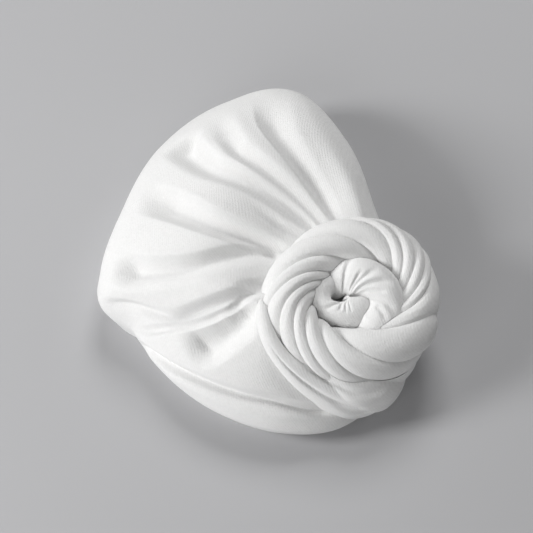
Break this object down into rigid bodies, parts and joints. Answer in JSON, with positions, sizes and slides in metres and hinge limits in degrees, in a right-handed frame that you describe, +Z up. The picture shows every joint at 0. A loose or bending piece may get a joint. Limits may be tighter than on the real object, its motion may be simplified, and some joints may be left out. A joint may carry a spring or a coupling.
{
  "type": "baby turban cap with coiled rosette",
  "caption": "Soft knitted cap, gathered at the front under a twisted coil of the same cloth, lying on its rim with its head opening down.",
  "frame": {"origin": "middle of the whole cap's footprint box, on the surface that its rim lies on", "axes": "+Z up, -Y towards the front, where the rosette sits, +Y towards the crown"},
  "size_m": [0.1676, 0.1988, 0.0552],
  "materials": {
    "jersey": "brushed knit"
  },
  "bodies": {
    "root": {"cap": "jersey", "outer_coil": "jersey", "inner_coil": "jersey", "centre_tuck": "jersey", "base_wrap": "jersey"}
  },
  "joints": []
}
